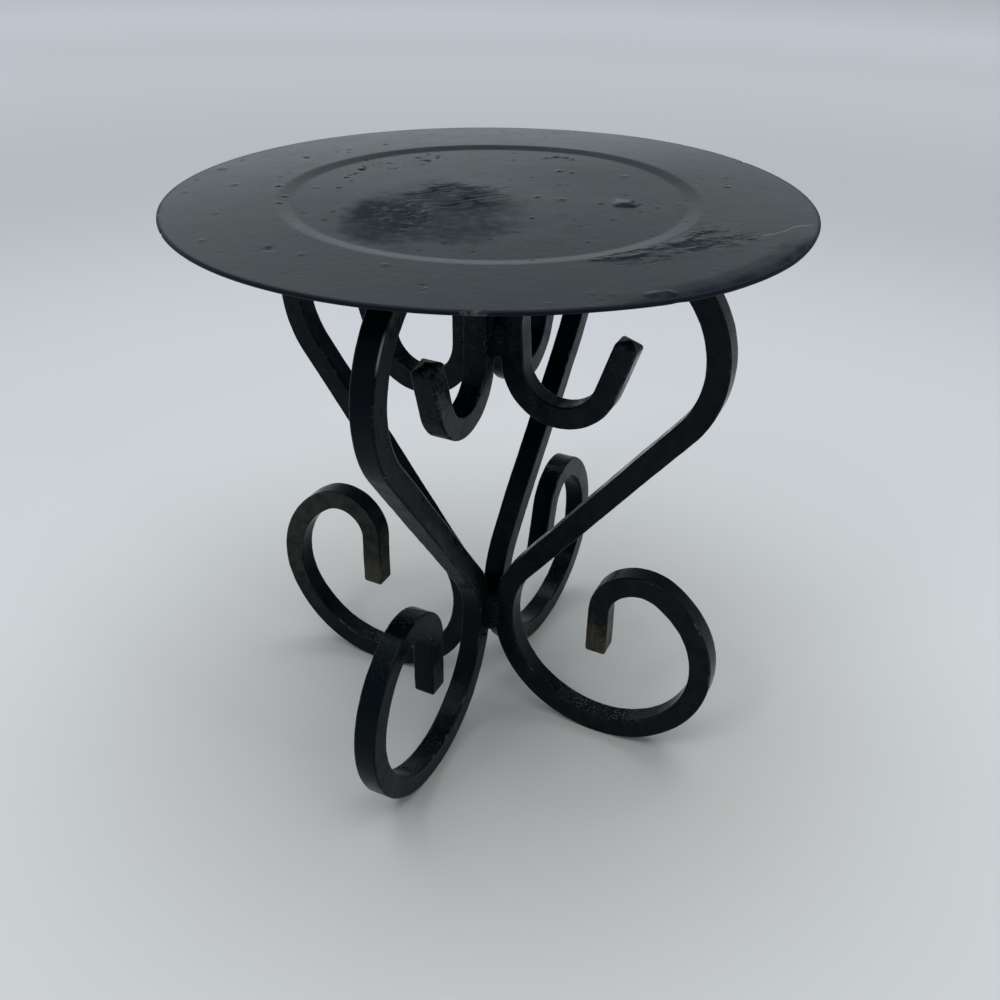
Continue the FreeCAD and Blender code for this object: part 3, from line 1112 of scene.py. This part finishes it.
def mixed(tree, share, *colours):
    """Mix of two colours, each given as three numbers or as another node's output."""
    node = tree.nodes.new("ShaderNodeMix")
    node.data_type = "RGBA"
    feed(tree, node.inputs["Factor"], share)
    sockets = [socket for socket in node.inputs if socket.type == "RGBA"]
    for socket, colour in zip(sockets, colours):
        feed(tree, socket, colour)
    return next(socket for socket in node.outputs if socket.type == "RGBA")


def painted(tree, colour, *coats):
    """Lays coats over a colour, each the share of it and its own colour."""
    for share, coat in coats:
        colour = mixed(tree, share, colour, coat)
    return colour


def fine_noise(tree, scale, detail=2.0, roughness=0.5):
    """Noise over the object's own coordinates; scale is in features per metre."""
    where = put(tree, "TexCoord").outputs["Object"]
    node = put(tree, "TexNoise", Vector=where, Scale=scale, Detail=detail, Roughness=roughness)
    return node.outputs["Fac"]


def creases(tree, lie, length, gap):
    """Thin broken lines along one bearing: 1 on a line. Length of a line and gap between two, in mm."""
    where = put(tree, "Mapping", Vector=put(tree, "TexCoord").outputs["Object"],
                Rotation=(0, 0, math.radians(lie)), Scale=(length * MM, gap * MM, gap * MM))
    where.vector_type = "TEXTURE"
    lines = put(tree, "TexNoise", Vector=where.outputs["Vector"], Scale=1.0, Detail=3.0, Roughness=0.6)
    off_line = sums(tree, "ABSOLUTE", sums(tree, "SUBTRACT", lines.outputs["Fac"], 0.5))
    return times(tree, ranged(tree, off_line, 0.06, 0.015),
                 ranged(tree, fine_noise(tree, 150), 0.42, 0.52))


def mask(tree, name):
    """Value that a piece's mesh stores under a name."""
    node = put(tree, "Attribute")
    node.attribute_name = name
    return node.outputs["Fac"]


def new_group(name, inputs, outputs):
    """Empty shader group, and the sockets that its nodes take from and give to."""
    group = bpy.data.node_groups.new(name, "ShaderNodeTree")
    for socket, value in inputs.items():
        kind = "Float" if isinstance(value, float) else "Color"
        made = group.interface.new_socket(name=socket, in_out="INPUT", socket_type="NodeSocket" + kind)
        made.default_value = value if kind == "Float" else (*value, 1)
    for socket, kind in outputs.items():
        group.interface.new_socket(name=socket, in_out="OUTPUT", socket_type="NodeSocket" + kind)
    given = group.nodes.new("NodeGroupInput")
    result = group.nodes.new("NodeGroupOutput")
    return group, given.outputs, result.inputs


def place_group(tree, group, **inputs):
    """Places a group in a material with its own values, and returns its outputs."""
    node = tree.nodes.new("ShaderNodeGroup")
    node.node_tree = group
    for name, value in inputs.items():
        feed(tree, node.inputs[name], value)
    return node.outputs


def paint_skin_group():
    """Brushed enamel: orange peel, slow clouds of a second tone and uneven gloss."""
    group, given, result = new_group("paint_skin",
                                     {"Peel": 700.0, "Smooth": 0.3, "Rough": 0.45, **BAR_TONES},
                                     {"Colour": "Color", "Gloss": "Float", "Height": "Float"})
    peel = fine_noise(group, given["Peel"])
    specks = fine_noise(group, times(group, given["Peel"], 3.1))
    clouds = fine_noise(group, 55, 4, 0.6)
    smears = fine_noise(group, 170, 3, 0.55)
    tone = stacked(group, times(group, clouds, 0.65), (smears, 0.35))
    cloudy = ranged(group, tone, given["Clear"], given["Cloudy"])
    feed(group, result["Colour"], mixed(group, cloudy, given["Ground"], given["Cloud"]))
    gloss = ranged(group, stacked(group, smears, (specks, 0.3)), 0.4, 0.9)
    spread = sums(group, "SUBTRACT", given["Rough"], given["Smooth"])
    feed(group, result["Gloss"], stacked(group, given["Smooth"], (gloss, spread)))
    feed(group, result["Height"], stacked(group, times(group, peel, 0.7), (specks, 0.6)))
    return group


def pits_group():
    """Pinholes and grit under the paint: a few round spots, each in its own cell."""
    group, given, result = new_group("paint_pits", {"Cells": 330.0, "Share": 0.25},
                                     {"Pit": "Float", "Grit": "Float"})
    where = put(group, "TexCoord").outputs["Object"]
    cells = put(group, "TexVoronoi", Vector=where, Scale=given["Cells"], Randomness=1.0)
    draw = put(group, "SeparateColor", Color=cells.outputs["Color"])
    dot = ranged(group, cells.outputs["Distance"], 0.16, 0.05)
    for kind, drawn in (("Pit", "Red"), ("Grit", "Green")):
        chosen = sums(group, "LESS_THAN", draw.outputs[drawn], given["Share"])
        feed(group, result[kind], times(group, dot, chosen))
    return group


def edge_wear_group():
    """Paint rubbed thin on corners, in broken runs."""
    group, given, result = new_group("edge_wear", {"Edge": 0.0, "Amount": 0.5}, {"Worn": "Float"})
    runs = fine_noise(group, 120, 3, 0.6)
    nibbles = fine_noise(group, 900, 2, 0.6)
    cover = stacked(group, times(group, runs, 0.65), (nibbles, 0.35))
    threshold = sums(group, "SUBTRACT", 0.82, times(group, given["Amount"], 0.45))
    worn = ranged(group, sums(group, "SUBTRACT", cover, threshold), 0.0, 0.09)
    feed(group, result["Worn"], times(group, worn, given["Edge"]))
    return group


def rust_group():
    """Rust that shows through thin paint: where it is and its colour."""
    group, given, result = new_group("rust_bloom", {"Place": 0.0, "Amount": 0.5},
                                     {"Mask": "Float", "Colour": "Color"})
    blooms = fine_noise(group, 85, 5, 0.62)
    grains = fine_noise(group, 1100, 3, 0.6)
    cover = stacked(group, blooms, (given["Place"], 0.42), (given["Amount"], 0.25))
    patchy = ranged(group, sums(group, "SUBTRACT", cover, 0.78), 0.0, 0.22)
    feed(group, result["Mask"], times(group, patchy, ranged(group, grains, 0.3, 0.62, 0.35, 1.0)))
    feed(group, result["Colour"], mixed(group, grains, RUST_DARK, RUST_LIGHT))
    return group


def dust_group():
    """Dust that lies on faces that look up."""
    group, given, result = new_group("dust", {"Amount": 0.3}, {"Mask": "Float"})
    up = put(group, "SeparateXYZ", Vector=put(group, "NewGeometry").outputs["Normal"]).outputs["Z"]
    lies = ranged(group, up, 0.25, 0.95)
    motes = ranged(group, fine_noise(group, 1500, 2, 0.7), 0.5, 0.75)
    drifts = ranged(group, fine_noise(group, 70, 4, 0.6), 0.4, 0.75)
    cover = times(group, times(group, motes, drifts), lies)
    feed(group, result["Mask"], times(group, cover, given["Amount"]))
    return group


def new_material(name, shine):
    """Material with a lone Principled shader, and how strongly its surface mirrors."""
    material = bpy.data.materials.new(name)
    material.use_nodes = True
    shader = material.node_tree.nodes["Principled BSDF"]
    shader.inputs["Specular IOR Level"].default_value = shine
    return material, material.node_tree, shader


def finish_paint(tree, shader, colour, rough, height, relief):
    """Feeds a paint's colour, roughness and fine relief to its shader; relief is in mm."""
    feed(tree, shader.inputs["Base Color"], colour)
    feed(tree, shader.inputs["Roughness"], rough)
    node = put(tree, "Bump", Height=height, Distance=relief * MM, Strength=1.0)
    feed(tree, shader.inputs["Normal"], node.outputs["Normal"])


def scratch_mark(tree, soot):
    """The light scratch on the dish's rim, broken where the soot lies."""
    line = ranged(tree, sums(tree, "ABSOLUTE", mask(tree, "scratch")), 0.65, 0.10)
    line = times(tree, line, mask(tree, "by_scratch"))
    return times(tree, line, ranged(tree, soot, 0.35, 0.6, 0.4, 1.0))


def dish_paint(skin, pits, wear, dust):
    """Satin black on the dish, with scorching, scales, pinholes, a rubbed edge, and painted shade in
    pits, cracks, creases, under torn paint and on the edge band.
    """
    material, tree, shader = new_material("dish paint", DISH_SHINE)
    enamel = place_group(tree, skin, Peel=620.0, Smooth=0.12, Rough=0.22, **DISH_TONES)
    holes = place_group(tree, pits, Cells=300.0, Share=0.13)
    patch, scaly, edge = (mask(tree, kind) for kind in ("patch", "scales", "edge"))
    soot = fine_noise(tree, 420, 3, 0.6)
    # Creases give relief, and painted shade in their lines.
    creased = times(tree, creases(tree, SCORCH_LIE + WRINKLE_LIE, CREASE_LENGTH, CREASE_GAP),
                    largest(tree, mask(tree, "wrinkled"), scaly))
    # Painted shade in pits, blisters, cracks, creases and under torn paint.
    painted_shade = largest(tree, mask(tree, "painted_shade"), creased)
    rubbing = sums(tree, "MULTIPLY_ADD", mask(tree, "rub"), 0.5, 0.2)
    rubbed = place_group(tree, wear, Edge=edge, Amount=rubbing)["Worn"]
    sooty = times(tree, patch, ranged(tree, soot, 0.3, 0.6, 0.6, 1.0))
    mottle = ranged(tree, fine_noise(tree, 150, 4, 0.65), 0.35, 0.58, 0.45, 1.0)
    scuffed = times(tree, mask(tree, "scuff"), mottle)
    # Soot of the scorching and dirt on the scuffed edge are real; the same dark over pits, cracks,
    # creases and the edge band is painted shade.
    colour = painted(tree, enamel["Colour"],
                     (largest(tree, sooty, painted_shade, scuffed, edge), SOOT_AND_SHADE),
                     (scratch_mark(tree, soot), DUST_GREY),
                     (times(tree, rubbed, 0.8), BARE_METAL),
                     (place_group(tree, dust, Amount=0.10)["Mask"], DUST_GREY))
    rough = stacked(tree, enamel["Gloss"], (sooty, 0.60), (scuffed, 0.60), (scaly, 0.06), (edge, 0.35),
                    (painted_shade, 0.55))
    burnt = times(tree, stacked(tree, ranged(tree, patch, 0.25, 0.9), (scaly, 0.5)), soot)
    flakes = times(tree, scaly, fine_noise(tree, 1100, 3, 0.65))
    height = stacked(tree, times(tree, enamel["Height"], 0.8), (holes["Pit"], -1.2),
                     (holes["Grit"], 0.9), (burnt, 2.2), (flakes, 1.6), (creased, -3.5))
    finish_paint(tree, shader, colour, rough, height, DISH_RELIEF)
    return material


def bar_paint(skin, pits, wear, rust, dust):
    """Glossy black on the bars: rubbed corners, rust at the sawn ends, dirt in the bends, and a painted
    highlight on one corner.
    """
    material, tree, shader = new_material("bar paint", BAR_SHINE)
    feed(tree, shader.inputs["Specular Tint"], BAR_SHEEN)
    enamel = place_group(tree, skin, Peel=560.0, Smooth=0.12, Rough=0.38, **BAR_TONES)
    holes = place_group(tree, pits, Cells=420.0, Share=0.16)
    rubbed = place_group(tree, wear, Edge=mask(tree, "edge"), Amount=0.62)["Worn"]
    bloom = place_group(tree, rust, Place=mask(tree, "tip"), Amount=0.35)
    dirtied = sums(tree, "MULTIPLY_ADD", mask(tree, "grime"), 1.2, 0.28)
    dirt = place_group(tree, dust, Amount=dirtied)["Mask"]
    blotches = ranged(tree, fine_noise(tree, 260, 5, 0.65), 0.36, 0.62, 0.25, 1.0)
    specks = times(tree, ranged(tree, fine_noise(tree, 210, 3, 0.6), 0.42, 0.62),
                   ranged(tree, fine_noise(tree, 900, 3, 0.65), 0.46, 0.64))
    specks = times(tree, specks, mask(tree, "specked"))
    colour = painted(tree, enamel["Colour"],
                     (times(tree, mask(tree, "film"), blotches), FILM_BROWN),
                     (specks, SPECK_GREY),
                     (times(tree, bloom["Mask"], 0.8), bloom["Colour"]),
                     (times(tree, rubbed, 0.5), BARE_METAL),
                     # Painted highlight along one corner of the front leg.
                     (mask(tree, "painted_highlight"), HIGHLIGHT_COLOUR),
                     (dirt, DUST_GREY))
    rough = stacked(tree, enamel["Gloss"], (bloom["Mask"], 0.25))
    height = stacked(tree, times(tree, enamel["Height"], 0.9), (holes["Pit"], -1.0),
                     (holes["Grit"], 1.0), (rubbed, -0.6), (dirt, 1.5), (specks, 1.6))
    finish_paint(tree, shader, colour, rough, height, BAR_RELIEF)
    return material


def weld_paint(skin, pits, rust, dust):
    """Paint over the weld beads, dull in the grooves."""
    material, tree, shader = new_material("weld paint", WELD_SHINE)
    enamel = place_group(tree, skin, Peel=900.0, Smooth=0.32, Rough=0.6, **BAR_TONES)
    holes = place_group(tree, pits, Cells=700.0, Share=0.3)
    groove = mask(tree, "groove")
    bloom = place_group(tree, rust, Place=groove, Amount=0.4)
    colour = painted(tree, enamel["Colour"],
                     (times(tree, bloom["Mask"], 0.4), bloom["Colour"]),
                     (place_group(tree, dust, Amount=0.12)["Mask"], DUST_GREY))
    rough = stacked(tree, enamel["Gloss"], (groove, 0.15))
    height = stacked(tree, enamel["Height"], (holes["Pit"], -0.8), (holes["Grit"], 1.2))
    finish_paint(tree, shader, colour, rough, height, BEAD_RELIEF)
    return material


def floor_paper():
    """Matt studio paper, with painted light and shade: a soft change of tone away from the stand."""
    material, tree, shader = new_material("studio paper", FLOOR_SHINE)
    shader.inputs["Roughness"].default_value = FLOOR_ROUGH
    away = sums(tree, "LENGTH", put(tree, "NewGeometry").outputs["Position"], kind="VectorMath")
    # The ramp paints light and shade on the floor by distance from the stand.
    ramp = put(tree, "ValToRGB", Fac=ranged(tree, away, 0.0, FLOOR_REACH))
    ramp.color_ramp.interpolation = "EASE"
    stops = ramp.color_ramp.elements
    for number, (distance, tone) in enumerate(FLOOR_PAINTED_SHADE):
        place = distance / FLOOR_REACH
        # A new ramp has two stops already.
        stop = stops[number] if number < 2 else stops.new(place)
        stop.position = place
        stop.color = (*tone, 1)
    feed(tree, shader.inputs["Base Color"], ramp.outputs["Color"])
    return material


def studio_floor():
    """Flat floor under the stand, which is not part of it."""
    far = FLOOR_HALF
    mesh = bpy.data.meshes.new("studio_floor")
    mesh.from_pydata([(-far, -far, 0), (far, -far, 0), (far, far, 0), (-far, far, 0)], [], [range(4)])
    mesh.materials.append(floor_paper())
    into_scene("studio_floor", mesh)


def lamp(name, bearing, rise, distance, size, power):
    """Square soft lamp that faces the stand; bearing is from the front towards the right leg."""
    light = bpy.data.lights.new(name, "AREA")
    light.size = size
    light.energy = power
    light.color = LAMP_TINT
    into_scene(name, light).matrix_world = (Matrix.Rotation(math.radians(bearing), 4, "Z")
                                            @ Matrix.Rotation(math.radians(90 - rise), 4, "X")
                                            @ Matrix.Translation((0, 0, distance)))


def facing(tree, where, bearing):
    """How far a direction turns towards a bearing, which is from the front towards the right leg."""
    turn = math.radians(bearing)
    return sums(tree, "DOT_PRODUCT", where, (math.sin(turn), -math.cos(turn), 0), kind="VectorMath")


def studio_light():
    """Soft light from above and two small lamps, in a pale room that is darker behind the viewer."""
    for name, aside, rise, distance, size, power in LAMPS:
        lamp(name, VIEW_BEARING + aside, rise, distance, size, power)
    world = bpy.data.worlds.new("pale room")
    world.use_nodes = True
    bpy.context.scene.world = world
    tree = world.node_tree
    light = tree.nodes["Background"].inputs
    where = put(tree, "TexCoord").outputs["Generated"]
    rise = put(tree, "SeparateXYZ", Vector=where).outputs["Z"]
    feed(tree, light["Color"], mixed(tree, ranged(tree, rise, *ROOM_RISE), ROOM_LOW, ROOM_HIGH))
    front = ranged(tree, facing(tree, where, VIEW_BEARING), *ROOM_TURN, *ROOM_FRONT)
    aside = ranged(tree, facing(tree, where, VIEW_BEARING + 90), *ROOM_ACROSS, *ROOM_SIDES)
    feed(tree, light["Strength"], times(tree, front, aside))


def camera():
    """Camera at the photograph's place, with its slight roll."""
    data = bpy.data.cameras.new("camera")
    data.sensor_width = SENSOR
    data.lens = LENS
    data.clip_start = NEAREST * MM
    away, up = polar(VIEW_DISTANCE, VIEW_RISE)
    place = Vector((AIM_ASIDE, -away, AIM_HEIGHT + up))
    eye = into_scene("camera", data)
    eye.matrix_world = (Matrix.Rotation(math.radians(VIEW_BEARING), 4, "Z")
                        @ Matrix.Translation(place * MM)
                        @ Matrix.Rotation(math.radians(90 - VIEW_RISE), 4, "X")
                        @ Matrix.Rotation(math.radians(VIEW_ROLL), 4, "Z"))
    bpy.context.scene.camera = eye


def stand():
    """Every piece of the stand, each in the place of its CAD node."""
    skin, pits, wear = paint_skin_group(), pits_group(), edge_wear_group()
    rust, dust = rust_group(), dust_group()
    bars = bar_paint(skin, pits, wear, rust, dust)
    welds = weld_paint(skin, pits, rust, dust)
    fit(dish_piece(), "dish", dish_paint(skin, pits, wear, dust))
    for quarter, place in enumerate(PLACES):
        fit(leg_piece(place, quarter), "leg_" + place, bars)
        for kind, corners, size in (("waist_weld", valley(WAIST_HEIGHT), WAIST_WELD),
                                    ("hub_weld", valley(HUB_HEIGHT), HUB_WELD),
                                    ("dish_weld", under_dish(quarter), DISH_WELD)):
            fit(weld_piece(kind, place, quarter, corners, size), kind + "_" + place, welds)


bpy.context.scene.view_settings.view_transform = "Standard"
stand()
studio_floor()
studio_light()
camera()
